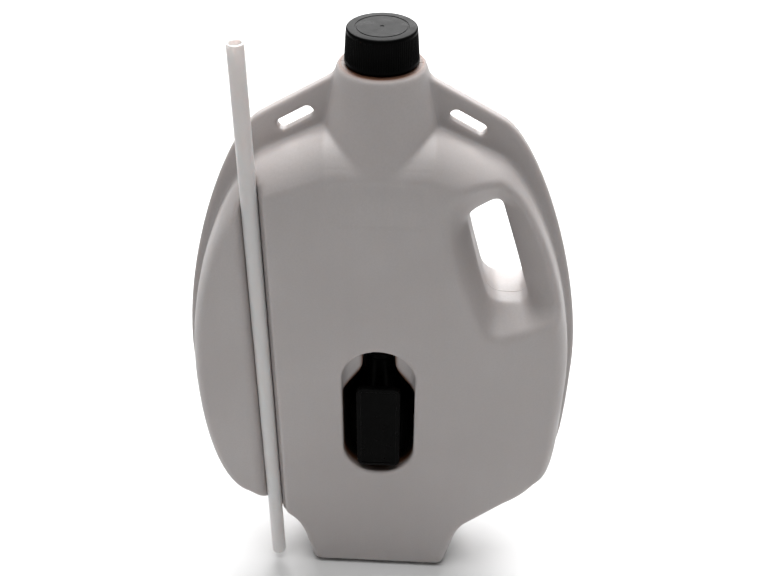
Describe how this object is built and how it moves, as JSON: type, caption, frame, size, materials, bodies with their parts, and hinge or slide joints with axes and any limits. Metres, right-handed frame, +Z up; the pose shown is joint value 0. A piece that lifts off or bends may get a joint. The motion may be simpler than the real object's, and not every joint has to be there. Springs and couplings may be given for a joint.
{
  "type": "oil drain pan canister",
  "caption": "Flat upright blow-moulded oil drain canister with moulded handle, screw cap, stored pouring spout, stored drain tube and a catch basin in its back.",
  "frame": {"origin": "middle of the underside of the foot, half way between the front and back faces", "axes": "+Z up along the neck, -Y out of the front face with the pocket and the tube channel, +X towards the handle"},
  "size_m": [0.32, 0.08, 0.518],
  "materials": {
    "natural_plastic": "translucent natural moulding, fine matt grain",
    "black_plastic": "satin black",
    "liner_foam": "matt foam",
    "spout_plastic": "satin black",
    "washer_rubber": "matt",
    "tube_plastic": "milky, semi-gloss",
    "stopper_plastic": "satin black",
    "ring_rubber": "matt"
  },
  "bodies": {
    "canister": {"canister_front_half": "natural_plastic", "canister_back_half": "natural_plastic", "canister_neck": "natural_plastic"},
    "cap_lift": {"cap_liner": "liner_foam"},
    "cap": {"screw_cap": "black_plastic"},
    "spout": {"pouring_spout": "spout_plastic", "spout_washer": "washer_rubber"},
    "tube": {"drain_tube": "tube_plastic"},
    "stopper": {"inlet_stopper": "stopper_plastic", "stopper_ring": "ring_rubber"}
  },
  "joints": [
    {"name": "cap_rise", "type": "slide", "parent": "canister", "child": "cap_lift", "axis": [0, 0, 1], "range_m": [0, 0.0251]},
    {"name": "cap_turn", "type": "hinge", "parent": "cap_lift", "child": "cap", "pos_m": [0, 0.006, 0.5], "axis": [0, 0, 1], "range_deg": [0, 1800]},
    {"name": "spout_out", "type": "slide", "parent": "canister", "child": "spout", "axis": [0, -1, 0], "range_m": [0, 0.065]},
    {"name": "tube_out", "type": "slide", "parent": "canister", "child": "tube", "axis": [0, -1, 0], "range_m": [0, 0.03]},
    {"name": "stopper_pull", "type": "slide", "parent": "canister", "child": "stopper", "axis": [0, 1, 0], "range_m": [0, 0.035]}
  ],
  "couplings": [
    {"joint": "cap_rise", "follows": "cap_turn", "m_per_rad": 0.00079577}
  ]
}
